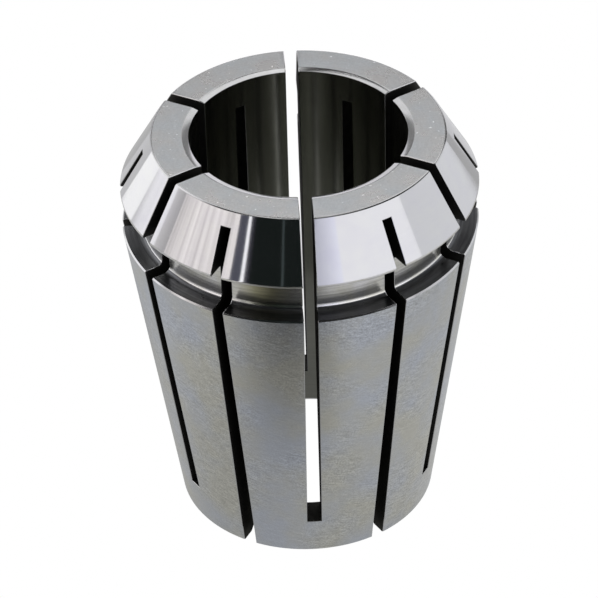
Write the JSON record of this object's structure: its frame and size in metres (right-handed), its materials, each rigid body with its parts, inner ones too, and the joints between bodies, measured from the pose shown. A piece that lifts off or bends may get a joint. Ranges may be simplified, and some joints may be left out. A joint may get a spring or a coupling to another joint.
{
  "type": "er collet",
  "caption": "Slotted steel spring collet with a straight bore, an 8 degree tapered body, an extraction groove and a short nose cone.",
  "frame": {"origin": "centre of the rear face, the small end, on which the collet stands", "axes": "+Z along the collet's axis, from the rear face to the nose; a slot sawn from the nose lies at -Y"},
  "size_m": [0.033, 0.033, 0.04],
  "materials": {
    "ground_steel": "hardened and ground, satin to bright"
  },
  "bodies": {
    "root": {"collet": "ground_steel"}
  },
  "joints": []
}
